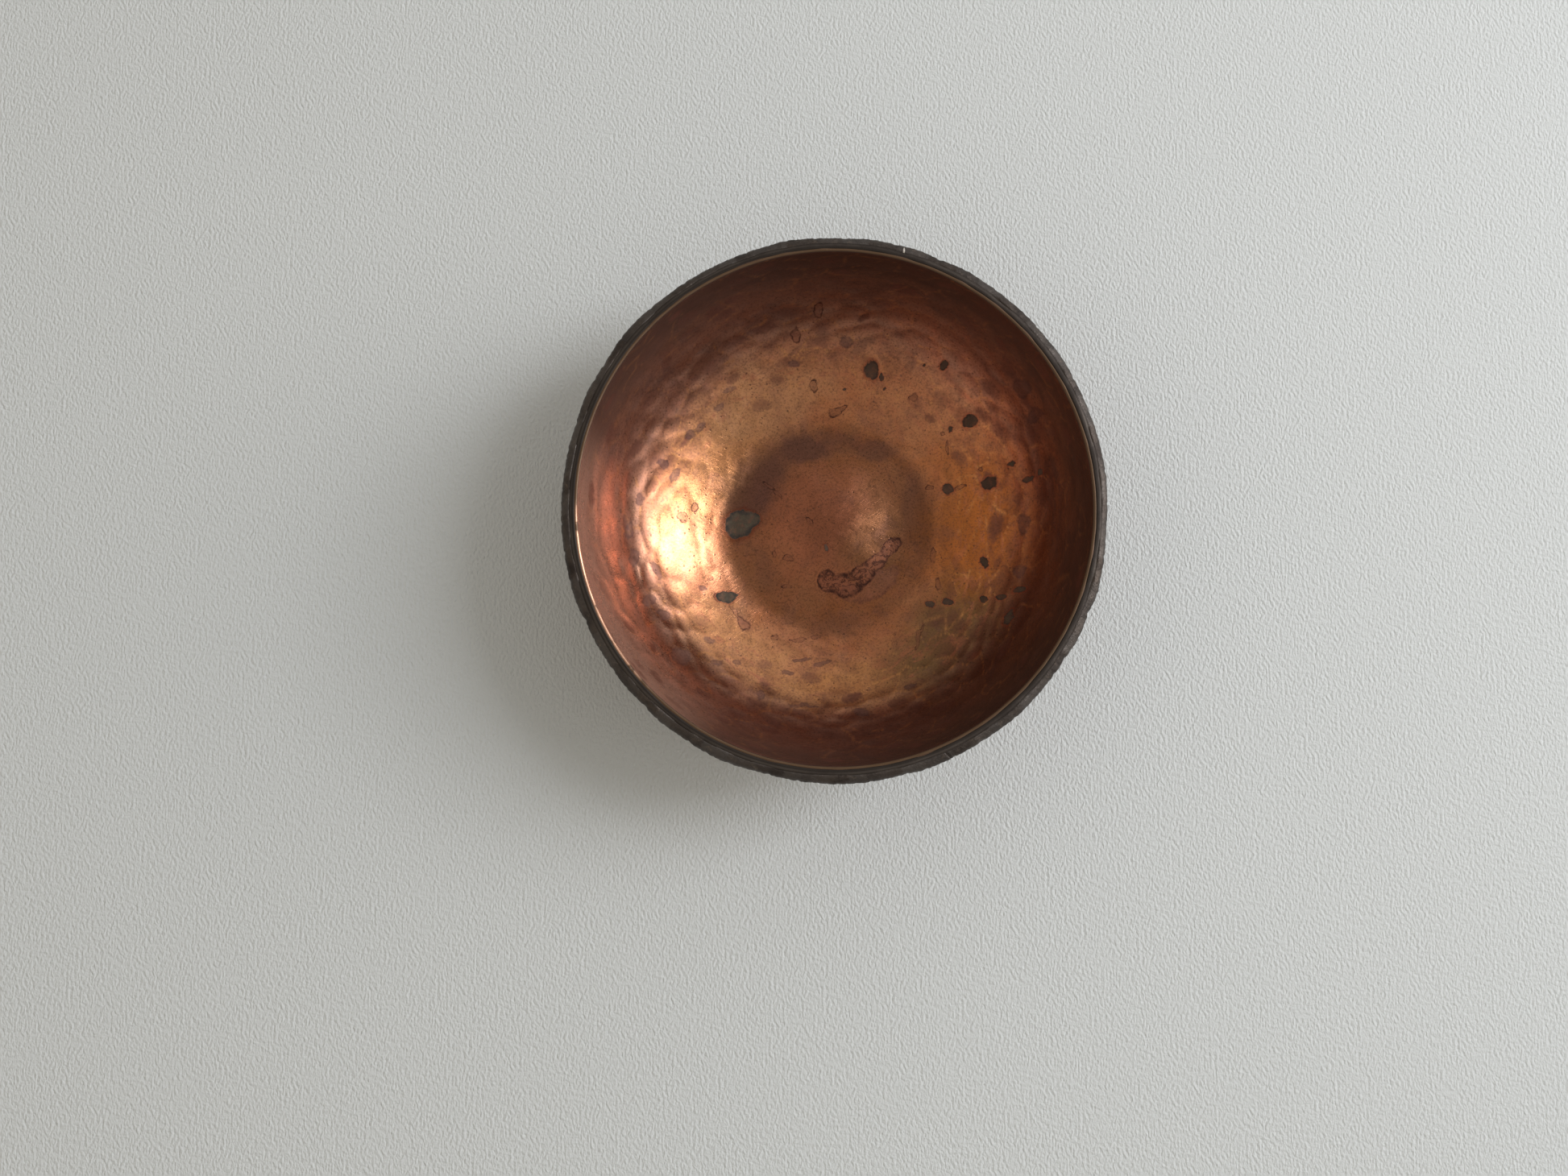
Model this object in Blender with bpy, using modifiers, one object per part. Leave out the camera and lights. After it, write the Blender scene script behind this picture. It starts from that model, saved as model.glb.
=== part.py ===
"""A hammered copper bowl: a thin raised shell with a heavy band soldered round its rim.

Metres, +Z up. The bowl stands on the flat ring of its foot at z = 0, with its axis on Z.
Run with: blender --background --python part.py
"""

import math

import bmesh
import bpy

# The whole bowl
OUTER_RADIUS = 0.0750
HEIGHT = 0.0460
TURN_STEPS = 72
CLEARANCE = 0.0003

# The shell, raised from one sheet, with its centre kicked up
SHEET = 0.0012
FOOT_RADIUS = 0.0270
FOOT_WIDTH = 0.0030
BOSS_RISE = 0.0030
WALL_POINTS = 12
BOSS_POINTS = 5
LIP_ROUNDING = 0.0004

# The band round the rim, a strip bent into a ring
BAND_DEPTH = 0.0031
BAND_HEIGHT = 0.0052
BAND_FLAT = 0.0008
BAND_POINTS = 8

# The joint where the band's two ends meet
JOINT_ANGLE = math.radians(-66.0)
JOINT_SLANT = math.radians(20.0)
JOINT_FILL = 0.0004

# The solder that holds the band on
SOLDER_SLEEVE = 0.0003
SOLDER_FILLET = 0.0013
SOLDER_HOLLOW = 0.3

BAND_INNER = OUTER_RADIUS - BAND_DEPTH
SHELL_RADIUS = BAND_INNER - SOLDER_SLEEVE - 2 * CLEARANCE
FOOT_OUTER = FOOT_RADIUS + FOOT_WIDTH / 2
FOOT_INNER = FOOT_RADIUS - FOOT_WIDTH / 2
BAND_BOTTOM = HEIGHT - BAND_HEIGHT

# Linear colour and roughness
COPPER = ((0.46, 0.16, 0.07), 0.28)
DARK_COPPER = ((0.055, 0.040, 0.034), 0.55)
BRAZING_BRASS = ((0.50, 0.27, 0.10), 0.35)


def clear_scene():
    for obj in list(bpy.data.objects):
        bpy.data.objects.remove(obj, do_unlink=True)


def make_collection(name):
    collection = bpy.data.collections.new(name)
    bpy.context.scene.collection.children.link(collection)
    return collection


def make_metal(name, finish):
    colour, roughness = finish
    material = bpy.data.materials.new(name)
    material.use_nodes = True
    material.diffuse_color = (*colour, 1.0)
    shader = material.node_tree.nodes["Principled BSDF"]
    shader.inputs["Base Color"].default_value = (*colour, 1.0)
    shader.inputs["Metallic"].default_value = 1.0
    shader.inputs["Roughness"].default_value = roughness
    return material


def make_turned(name, profile, closed, collection, material):
    """Turns an (x, z) profile about Z. The profile runs down its outer side."""
    mesh = bpy.data.meshes.new(name)
    shape = bmesh.new()
    points = [shape.verts.new((x, 0.0, z)) for x, z in profile]
    for upper, lower in zip(points, points[1:]):
        shape.edges.new((upper, lower))
    if closed:
        shape.edges.new((points[-1], points[0]))
    shape.to_mesh(mesh)
    shape.free()

    obj = bpy.data.objects.new(name, mesh)
    obj.data.materials.append(material)
    collection.objects.link(obj)
    turn = obj.modifiers.new("Turn", "SCREW")
    turn.axis = "Z"
    turn.angle = math.tau
    turn.steps = TURN_STEPS
    turn.render_steps = TURN_STEPS
    turn.use_merge_vertices = True
    turn.merge_threshold = 0.00005
    turn.use_smooth_shade = True
    return obj


def wall_radius(z):
    """The shell's outer radius at a height above the foot."""
    swing = math.acos(1.0 - z / HEIGHT)
    return FOOT_OUTER + (SHELL_RADIUS - FOOT_OUTER) * math.sin(swing)


def shell_profile():
    """A quarter ellipse from the lip to the foot, the foot's flat, then the kicked-up centre."""
    profile = []
    for k in range(WALL_POINTS):
        swing = math.pi / 2 * (1.0 - k / WALL_POINTS)
        x = FOOT_OUTER + (SHELL_RADIUS - FOOT_OUTER) * math.sin(swing)
        profile.append((x, HEIGHT * (1.0 - math.cos(swing))))
    profile.append((FOOT_OUTER, 0.0))
    for k in range(BOSS_POINTS + 1):
        x = FOOT_INNER * (1.0 - k / BOSS_POINTS)
        profile.append((x, BOSS_RISE / 2 * (1.0 + math.cos(math.pi * x / FOOT_INNER))))
    return profile


def band_profile():
    """Flat where it meets the shell, rounded outside."""
    middle = HEIGHT - BAND_HEIGHT / 2
    profile = [(BAND_INNER, HEIGHT)]
    for k in range(BAND_POINTS + 1):
        turn = math.pi / 2 - math.pi * k / BAND_POINTS
        x = BAND_INNER + BAND_FLAT + (BAND_DEPTH - BAND_FLAT) * math.cos(turn)
        profile.append((x, middle + BAND_HEIGHT / 2 * math.sin(turn)))
    profile.append((BAND_INNER, BAND_BOTTOM))
    return profile


def solder_profile():
    """A thin sleeve between shell and band, with a fillet under the band."""
    inner = SHELL_RADIUS + CLEARANCE
    outer = inner + SOLDER_SLEEVE
    shoulder = BAND_BOTTOM - CLEARANCE
    toe = shoulder - SOLDER_FILLET
    return [
        (inner, HEIGHT),
        (outer, HEIGHT),
        (outer, shoulder),
        (outer + SOLDER_FILLET, shoulder),
        (outer + SOLDER_FILLET * SOLDER_HOLLOW, toe + SOLDER_FILLET * SOLDER_HOLLOW),
        (wall_radius(toe) + CLEARANCE, toe),
    ]


def make_joint_slab(name, thickness, collection):
    """A slab across the band where its ends meet."""
    mesh = bpy.data.meshes.new(name)
    shape = bmesh.new()
    bmesh.ops.create_cube(shape, size=1.0)
    size = (4 * BAND_DEPTH, thickness, 3 * BAND_HEIGHT)
    bmesh.ops.scale(shape, vec=size, verts=shape.verts)
    shape.to_mesh(mesh)
    shape.free()
    slab = bpy.data.objects.new(name, mesh)
    reach = OUTER_RADIUS - BAND_DEPTH / 2
    slab.location = (
        reach * math.cos(JOINT_ANGLE),
        reach * math.sin(JOINT_ANGLE),
        HEIGHT - BAND_HEIGHT / 2,
    )
    slab.rotation_euler = (0.0, 0.0, JOINT_ANGLE + JOINT_SLANT)
    slab.hide_render = True
    slab.display_type = "WIRE"
    collection.objects.link(slab)
    return slab


def cut_with(obj, cutter, operation):
    cut = obj.modifiers.new("Joint", "BOOLEAN")
    cut.operation = operation
    cut.solver = "EXACT"
    cut.object = cutter


def make_shell(collection):
    shell = make_turned(
        "bowl_shell", shell_profile(), False, collection, make_metal("polished_copper", COPPER)
    )
    wall = shell.modifiers.new("Sheet", "SOLIDIFY")
    wall.thickness = SHEET
    wall.offset = -1.0
    wall.use_even_offset = True
    lip = shell.modifiers.new("Lip", "BEVEL")
    lip.width = LIP_ROUNDING
    lip.segments = 2
    lip.limit_method = "ANGLE"
    lip.angle_limit = math.radians(60.0)


def make_band(collection, cutters):
    band = make_turned(
        "rim_band", band_profile(), True, collection, make_metal("dark_copper", DARK_COPPER)
    )
    slot = JOINT_FILL + 2 * CLEARANCE
    cut_with(band, make_joint_slab("joint_slot", slot, cutters), "DIFFERENCE")


def make_solder(collection, cutters):
    brass = make_metal("brazing_brass", BRAZING_BRASS)
    make_turned("rim_solder", solder_profile(), True, collection, brass)
    fill = make_turned("band_joint_solder", band_profile(), True, collection, brass)
    cut_with(fill, make_joint_slab("joint_fill", JOINT_FILL, cutters), "INTERSECT")


clear_scene()
bowl = make_collection("hammered_copper_bowl")
hidden = make_collection("cutters")
make_shell(bowl)
make_band(bowl, hidden)
make_solder(bowl, hidden)
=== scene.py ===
import math
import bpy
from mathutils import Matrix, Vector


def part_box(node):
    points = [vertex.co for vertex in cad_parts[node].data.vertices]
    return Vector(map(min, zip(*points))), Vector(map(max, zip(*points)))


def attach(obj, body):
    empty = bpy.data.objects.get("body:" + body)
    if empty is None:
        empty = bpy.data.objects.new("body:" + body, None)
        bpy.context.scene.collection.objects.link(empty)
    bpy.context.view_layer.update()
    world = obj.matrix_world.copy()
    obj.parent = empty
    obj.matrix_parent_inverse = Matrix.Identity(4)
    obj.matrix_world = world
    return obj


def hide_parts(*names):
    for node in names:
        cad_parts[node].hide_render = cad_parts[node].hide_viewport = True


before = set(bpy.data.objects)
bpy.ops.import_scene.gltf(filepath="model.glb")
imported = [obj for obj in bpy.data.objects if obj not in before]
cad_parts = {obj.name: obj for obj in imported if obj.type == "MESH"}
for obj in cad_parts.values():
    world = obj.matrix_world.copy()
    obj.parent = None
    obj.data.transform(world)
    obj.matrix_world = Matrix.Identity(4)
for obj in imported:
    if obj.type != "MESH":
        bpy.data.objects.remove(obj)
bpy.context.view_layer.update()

from types import SimpleNamespace

import bmesh
import bpy
import numpy as np
from mathutils import Vector

# ------------------------------------------------------------------------------------------
# Bowl shell. One disc of 1.2 mm copper sheet, sunk and raised with a domed hammer in rings,
# its centre kicked up so that it stands on a ring. The inside was polished long ago and has
# browned since, with water stains; the outside was left darker, as it came from the hammer.

SHEET = 0.0012
FOOT_INNER = 0.0255
FOOT_OUTER = 0.0285
BOSS_RISE = 0.0030
TURNS = 540
OVAL = 0.99
# The wall is a quarter ellipse, but for a shoulder: its corner at the foot is tighter.
SHOULDER_RISE = 0.0014
SHOULDER_WIDTH = 0.0080
SHOULDER_FADE = 0.030
LIP_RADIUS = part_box("bowl_shell")[1][0] - 0.0001
LIP_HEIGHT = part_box("rim_band")[1][2]


def sheet_path():
    """The sheet's outer face from the axis to the lip: distance along it, r, z and slope."""
    boss = np.linspace(0.0, FOOT_INNER, 60)
    swing = np.linspace(0.0, math.pi / 2, 240)
    boss_z = BOSS_RISE / 2 * (1 + np.cos(math.pi * boss / FOOT_INNER))
    wall_r = FOOT_OUTER + (LIP_RADIUS - FOOT_OUTER) * np.sin(swing)
    wall_z = (LIP_HEIGHT - SHEET / 2) * (1 - np.cos(swing))
    shoulder = 1 - np.exp(-((wall_r - FOOT_OUTER) / SHOULDER_WIDTH) ** 2)
    fade = np.clip((LIP_RADIUS - wall_r) / SHOULDER_FADE, 0, 1)
    wall_z += SHOULDER_RISE * shoulder * fade * fade * (3 - 2 * fade)
    r = np.concatenate([boss, wall_r])
    z = np.concatenate([boss_z, wall_z])
    along = np.concatenate([[0.0], np.cumsum(np.hypot(np.diff(r), np.diff(z)))])
    slope = np.arctan2(np.gradient(z, along), np.gradient(r, along))
    return along, r, z, slope


def shell_outline(path, outer_points=30, lip_points=6, floor_points=28, wall_points=108):
    """Rows of (r, z, distance along the sheet, face): face is 0 outside, 1 inside."""
    along, r, z, slope = path
    floor_steps = np.linspace(0.0, FOOT_OUTER, floor_points)
    wall_steps = np.linspace(FOOT_OUTER, along[-1], wall_points)[1:]
    inner_steps = np.concatenate([floor_steps, wall_steps])[::-1]
    rows = []
    for s in np.linspace(0.0, along[-1], outer_points):
        rows.append((np.interp(s, along, r), np.interp(s, along, z), s, 0.0))
    for turn in np.linspace(0.0, math.pi, lip_points + 2)[1:-1]:
        lip_r = LIP_RADIUS - SHEET / 2 + SHEET / 2 * math.cos(turn)
        lip_z = LIP_HEIGHT - SHEET / 2 + SHEET / 2 * math.sin(turn)
        rows.append((lip_r, lip_z, along[-1], turn / math.pi))
    for s in inner_steps:
        tilt = np.interp(s, along, slope)
        rows.append((
            max(0.0, np.interp(s, along, r) - SHEET * math.sin(tilt)),
            np.interp(s, along, z) + SHEET * math.cos(tilt),
            s,
            1.0,
        ))
    rows[-1] = (0.0, rows[-1][1], 0.0, 1.0)
    return rows


def turn_outline(name, rows, labels, turns, angle=math.tau, closed=False, sectors=20):
    """Spins (r, z, labels...) rows about Z into a mesh that carries the labels on its points."""
    shape = bmesh.new()
    layers = [shape.verts.layers.float.new(label) for label in labels]
    ring = []
    for row in rows:
        point = shape.verts.new((row[0], 0.0, row[1]))
        for layer, value in zip(layers, row[2:]):
            point[layer] = value
        ring.append(point)
    edges = [shape.edges.new(pair) for pair in zip(ring, ring[1:])]
    if closed:
        edges.append(shape.edges.new((ring[-1], ring[0])))
    sector = angle / sectors
    bmesh.ops.spin(
        shape, geom=ring + edges, cent=(0, 0, 0), axis=(0, 0, 1),
        angle=sector, steps=turns // sectors,
    )
    bmesh.ops.spin(
        shape, geom=shape.verts[:] + shape.edges[:] + shape.faces[:], cent=(0, 0, 0),
        axis=(0, 0, 1), angle=angle - sector, steps=sectors - 1, use_duplicate=True,
    )
    bmesh.ops.remove_doubles(shape, verts=shape.verts, dist=2e-6)
    if not math.isclose(angle, math.tau):
        bmesh.ops.holes_fill(shape, edges=shape.edges, sides=0)
    bmesh.ops.recalc_face_normals(shape, faces=shape.faces)
    mesh = bpy.data.meshes.new(name)
    shape.to_mesh(mesh)
    shape.free()
    mesh.shade_smooth()
    piece = bpy.data.objects.new(name, mesh)
    bpy.context.scene.collection.objects.link(piece)
    return piece


def read_points(mesh):
    flat = np.empty(len(mesh.vertices) * 3, np.float32)
    mesh.vertices.foreach_get("co", flat)
    return flat.reshape(-1, 3).astype(np.float64)


def write_points(mesh, points):
    mesh.vertices.foreach_set("co", points.astype(np.float32).ravel())
    mesh.update()


def read_label(mesh, name):
    values = np.empty(len(mesh.vertices), np.float32)
    mesh.attributes[name].data.foreach_get("value", values)
    return values.astype(np.float64)


def write_label(mesh, name, values):
    attribute = mesh.attributes.new(name, "FLOAT", "POINT")
    attribute.data.foreach_set("value", values.astype(np.float32))


def slow_waves(along, turn, seed, count=9):
    """The gentle unevenness of a hand-raised form, between about -1 and 1."""
    dice = np.random.default_rng(seed)
    total = np.zeros(len(along))
    for _ in range(count):
        lobes = dice.integers(1, 8)
        per_metre = dice.uniform(10, 70)
        phase = dice.uniform(0, math.tau)
        fade = np.clip(along / 0.02, 0, 1)
        total += fade * np.sin(lobes * turn + per_metre * along + phase)
    return total / math.sqrt(count)


# One blow's pitch up the wall and round it, how far its ring strays from a true circle, how
# softly blows run together, and how deep the form's slow waves and the lip's nicks are.
MARK_GAP = 0.0053
MARK_LENGTH = 0.0090
STRAY_ROUND = 0.0022
STRAY_ALONG = 0.0016
MARK_BLEND = 8.0
RIDGE_WIDTH = 0.18
WAVE_DEPTH = 0.00016
NICK_DEPTH = 0.00005


def hammer_marks(along, turn, radius, gap, length, ring_radius, seed):
    """Overlapping oval blows in rings. Gives each point's height in its mark (0 in the middle,
    about 1 on the ridge between marks), its nearness to a ridge, and its mark's own number."""
    dice = np.random.default_rng(seed)
    turn = turn + STRAY_ROUND / (radius + 0.004) * slow_waves(along, turn, seed + 1)
    along = np.clip(along + STRAY_ALONG * slow_waves(along, turn, seed + 2), 0, None)
    rings = int(along.max() / gap) + 2
    ring_at = (np.arange(rings) + 0.5) * gap
    count = np.maximum(5, np.round(math.tau * ring_radius(ring_at) / length)).astype(int)
    shape = (rings, count.max())
    stagger = dice.uniform(0, 1, rings)
    drift_turn = dice.uniform(-0.38, 0.38, shape)
    drift_along = dice.uniform(-0.42, 0.42, shape) * gap
    size = dice.uniform(0.70, 1.35, shape)
    tilt = dice.uniform(-0.35, 0.35, shape)
    number = dice.uniform(0, 1, shape)

    far_away = 9.0
    nearest = np.full(len(along), far_away)
    second = np.full(len(along), far_away)
    blend = np.zeros(len(along))
    owner = np.zeros(len(along))
    home = np.rint(along / gap - 0.5).astype(int)
    for ring_step in (-1, 0, 1):
        ring = np.clip(home + ring_step, 0, rings - 1)
        per_ring = count[ring]
        place = turn / math.tau * per_ring + stagger[ring]
        for mark_step in (-1, 0, 1):
            slot = np.rint(place).astype(int) + mark_step
            mark = slot % per_ring
            gone = (place - slot - drift_turn[ring, mark]) * math.tau / per_ring
            u = gone * radius
            v = along - ring_at[ring] - drift_along[ring, mark]
            turned_u = u * np.cos(tilt[ring, mark]) - v * np.sin(tilt[ring, mark])
            turned_v = u * np.sin(tilt[ring, mark]) + v * np.cos(tilt[ring, mark])
            span = size[ring, mark]
            reach = (turned_u / (length / 2 * span)) ** 2 + (turned_v / (gap / 2 * span)) ** 2
            blend += np.exp(-MARK_BLEND * reach)
            closer = reach < nearest
            second = np.where(closer, nearest, np.minimum(second, reach))
            owner = np.where(closer, number[ring, mark], owner)
            nearest = np.where(closer, reach, nearest)
    height = -np.log(blend + 1e-9) / MARK_BLEND
    ridge = np.exp(-((second - nearest) / RIDGE_WIDTH) ** 2)
    return np.clip(height, -0.3, 1.6), ridge, owner


def hammer_shell(mesh, path):
    """Pushes both faces in and out by their marks, and keeps what the material needs as labels."""
    path_along, path_r, _, path_slope = path
    full = path_along[-1]
    points = read_points(mesh)
    along = read_label(mesh, "along")
    inside = read_label(mesh, "face") > 0.5
    turn = np.arctan2(points[:, 1], points[:, 0])
    radius = np.hypot(points[:, 0], points[:, 1])
    tilt = np.interp(along, path_along, path_slope)

    def ring_radius(s):
        return np.interp(s, path_along, path_r)

    inner_height, inner_ridge, inner_mark = hammer_marks(
        along, turn, radius, MARK_GAP, MARK_LENGTH, ring_radius, seed=11
    )
    outer_height, outer_ridge, outer_mark = hammer_marks(
        along, turn, radius, MARK_GAP * 1.15, MARK_LENGTH * 0.9, ring_radius, seed=23
    )
    # How deep the marks are, by distance from the middle: faint on the dome, none at the lip.
    places = [0.0, 0.018, 0.030, 0.045, 0.058, 0.090, full]
    depths = [0.000010, 0.000018, 0.000034, 0.000090, 0.000130, 0.000100, 0.0]
    height = np.where(inside, inner_height, outer_height * 1.3)
    push = np.interp(along, places, depths) * (height - 0.6)
    side = np.where(inside, 1.0, -1.0)
    true_rim = np.clip((full - along) / 0.015, 0, 1)
    waves = WAVE_DEPTH * slow_waves(along, turn, seed=5) * true_rim
    inward = np.stack([
        -np.cos(turn) * np.sin(tilt), -np.sin(turn) * np.sin(tilt), np.cos(tilt)
    ], axis=1)
    points += inward * (push * side + waves)[:, None]
    points[:, 2] = np.maximum(points[:, 2], 0.0)
    at_lip = np.exp(-((along - full) / 0.0006) ** 2)
    points[:, 2] -= NICK_DEPTH * at_lip * (1 + slow_waves(along, turn * 11, seed=43))
    points[:, 2] = np.minimum(points[:, 2], LIP_HEIGHT)
    points[:, 0] *= OVAL
    write_points(mesh, points)
    write_label(mesh, "ridge", np.where(inside, inner_ridge, outer_ridge))
    write_label(mesh, "mark", np.where(inside, inner_mark, outer_mark))
    write_label(mesh, "hollow", np.clip(1 - np.where(inside, inner_height, outer_height), 0, 1))


path = sheet_path()
shell = turn_outline("hammered_shell", shell_outline(path), ("along", "face"), TURNS)
hammer_shell(shell.data, path)


def feed(tree, node, feeds):
    """Feeds a node's inputs, each by a value or by another node's output."""
    for name, value in feeds.items():
        if isinstance(value, bpy.types.NodeSocket):
            tree.links.new(value, node.inputs[name])
        else:
            node.inputs[name].default_value = value


def add(tree, kind, feeds=None, **settings):
    """One shader node, with its settings and what feeds its inputs."""
    node = tree.nodes.new("ShaderNode" + kind)
    for name, value in settings.items():
        setattr(node, name, value)
    feed(tree, node, feeds or {})
    return node


def calc(tree, operation, first, second=0.0, third=0.0):
    return add(tree, "Math", {0: first, 1: second, 2: third}, operation=operation).outputs[0]


def step(tree, value, start, end, low=0.0, high=1.0):
    """Goes smoothly from low to high as value goes from start to end."""
    feeds = {"Value": value, "From Min": start, "From Max": end, "To Min": low, "To Max": high}
    return add(tree, "MapRange", feeds, interpolation_type="SMOOTHSTEP").outputs[0]


def layer(tree, under, over, amount, blend_type="MIX"):
    feeds = {0: amount, 6: under, 7: over}
    mix = add(tree, "Mix", feeds, data_type="RGBA", blend_type=blend_type)
    return mix.outputs[2]


def cloud(tree, position, scale, detail=4.0, roughness=0.55, distortion=0.0):
    feeds = {
        "Vector": position, "Scale": scale, "Detail": detail,
        "Roughness": roughness, "Distortion": distortion,
    }
    return add(tree, "TexNoise", feeds).outputs["Fac"]


def label(tree, name):
    return add(tree, "Attribute", attribute_name=name).outputs["Fac"]


def new_group(name, inputs, outputs):
    """An empty node group: inputs and outputs are {name: kind}."""
    group = bpy.data.node_groups.new(name, "ShaderNodeTree")
    for socket, kind in inputs.items():
        group.interface.new_socket(socket, in_out="INPUT", socket_type="NodeSocket" + kind)
    for socket, kind in outputs.items():
        group.interface.new_socket(socket, in_out="OUTPUT", socket_type="NodeSocket" + kind)
    return group, group.nodes.new("NodeGroupInput").outputs, group.nodes.new("NodeGroupOutput").inputs


def place_group(tree, group, feeds):
    node = add(tree, "Group", node_tree=group)
    feed(tree, node, feeds)
    return node.outputs


def make_tarnish_group():
    """Patches of tarnish: broad ones with ragged edges, broken up by finer ones."""
    group, given, result = new_group(
        "tarnish_patches",
        {"Position": "Vector", "Patches": "Float", "Start": "Float", "Full": "Float"},
        {"Mask": "Float"},
    )
    broad = cloud(group, given["Position"], given["Patches"], 5.0, 0.62, 0.6)
    fine_scale = calc(group, "MULTIPLY", given["Patches"], 7.0)
    fine = cloud(group, given["Position"], fine_scale, 4.0, 0.7, 0.2)
    both = calc(group, "ADD", calc(group, "MULTIPLY", broad, 0.78), calc(group, "MULTIPLY", fine, 0.22))
    group.links.new(step(group, both, given["Start"], given["Full"]), result["Mask"])
    return group


def make_scratch_group():
    """Fine rubbing scratches, in two crossing directions."""
    group, given, result = new_group(
        "rubbing_scratches", {"Position": "Vector", "Fineness": "Float"}, {"Mask": "Float"}
    )
    masks = []
    for turn_deg, squeeze in ((24, 26.0), (-38, 34.0)):
        feeds = {"Vector": given["Position"], "Angle": math.radians(turn_deg)}
        turned = add(group, "VectorRotate", feeds, rotation_type="Z_AXIS").outputs[0]
        drawn = add(group, "VectorMath", {0: turned, 1: (1.0, squeeze, 1.0)}, operation="MULTIPLY")
        lines = cloud(group, drawn.outputs[0], given["Fineness"], 2.0, 0.5, 0.3)
        masks.append(step(group, lines, 0.60, 0.74))
    group.links.new(calc(group, "MAXIMUM", *masks), result["Mask"])
    return group


def make_streak_group():
    """Streaks that run round the bowl, longer than they are wide."""
    group, given, result = new_group(
        "wall_streaks",
        {"Position": "Vector", "Along": "Float", "Around": "Float", "Fineness": "Float"},
        {"Value": "Float"},
    )
    flat = add(group, "VectorMath", {0: given["Position"], 1: (1.0, 1.0, 0.0)}, operation="MULTIPLY")
    round_it = add(group, "VectorMath", {0: flat.outputs[0]}, operation="NORMALIZE").outputs[0]
    sized = add(group, "VectorMath", {0: round_it, "Scale": given["Around"]}, operation="SCALE")
    height = add(group, "CombineXYZ", {"Z": given["Along"]}).outputs[0]
    place = add(group, "VectorMath", {0: sized.outputs[0], 1: height}, operation="ADD").outputs[0]
    group.links.new(cloud(group, place, given["Fineness"], 5.0, 0.65, 0.5), result["Value"])
    return group


def make_stain_group():
    """How far a point is from an oval stain's middle: 1 on its edge."""
    group, given, result = new_group(
        "stain_reach",
        {"Position": "Vector", "Middle": "Vector", "Spread": "Vector", "Turn": "Float"},
        {"Reach": "Float"},
    )
    moved = add(group, "VectorMath", {0: given["Position"], 1: given["Middle"]}, operation="SUBTRACT")
    back = calc(group, "MULTIPLY", given["Turn"], -1.0)
    feeds = {"Vector": moved.outputs[0], "Angle": back}
    turned = add(group, "VectorRotate", feeds, rotation_type="Z_AXIS")
    scaled = add(group, "VectorMath", {0: turned.outputs[0], 1: given["Spread"]}, operation="MULTIPLY")
    size = add(group, "VectorMath", {0: scaled.outputs[0]}, operation="LENGTH")
    group.links.new(size.outputs["Value"], result["Reach"])
    return group


tarnish_group = make_tarnish_group()
scratch_group = make_scratch_group()
streak_group = make_streak_group()
stain_group = make_stain_group()

# The colours of the copper, its old lacquer and its stains.
GOLDEN = (0.64, 0.32, 0.13, 1)
PALE_GOLD = (0.66, 0.34, 0.18, 1)
DEEP_GOLD = (0.62, 0.29, 0.11, 1)
TAN = (0.55, 0.225, 0.110, 1)
GREY_TAN = (0.41, 0.235, 0.180, 1)
ORANGE = (0.52, 0.19, 0.080, 1)
# Burnt orange: painted shade and painted reflected glow on the right of the inside.
BURNT_ORANGE = (0.40, 0.125, 0.030, 1)
VEIN_ORANGE = (0.72, 0.32, 0.12, 1)
TERRACOTTA = (0.48, 0.165, 0.090, 1)
# Teak: painted shade on the raised middle's right flank.
TEAK = (0.31, 0.135, 0.062, 1)
OLIVE = (0.15, 0.100, 0.048, 1)
PLUM = (0.20, 0.095, 0.080, 1)
# Mauve: a painted reflection near the rim on the left.
MAUVE = (0.60, 0.36, 0.27, 1)
SMOKE = (0.15, 0.055, 0.036, 1)
# Painted shade near the rim on the lower right.
RED_PAINTED_SHADE = (0.150, 0.062, 0.046, 1)
DARK_SMOKE = (0.13, 0.055, 0.045, 1)
RIM_BROWN = (0.088, 0.048, 0.038, 1)
# A lighter rim brown for the left, a painted reflection of the window.
PAINTED_REFLECTION_BROWN = (0.30, 0.18, 0.135, 1)
HOLLOW_BROWN = (0.17, 0.068, 0.050, 1)
DARK_BROWN = (0.10, 0.050, 0.034, 1)
DRIED_BROWN = (0.060, 0.021, 0.016, 1)
RUST_RED = (0.30, 0.075, 0.040, 1)
CRUST_LIGHT = (0.095, 0.080, 0.046, 1)
OUTER_COPPER = (0.30, 0.14, 0.085, 1)
OUTER_BROWN = (0.12, 0.065, 0.045, 1)
WORN_COPPER = (0.50, 0.25, 0.14, 1)
LIP_BROWN = (0.060, 0.036, 0.026, 1)
LIP_GOLD = (0.115, 0.062, 0.030, 1)
# A painted highlight colour for the lip's left arc.
LIP_PAINTED_HIGHLIGHT = (0.62, 0.34, 0.22, 1)
# The left side, where the inner wall faces the window: the wall and lip are painted lighter there, a
# painted reflection of the window.
PAINTED_REFLECTION_AT = (-0.93, -0.37, 0.0)

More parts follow.
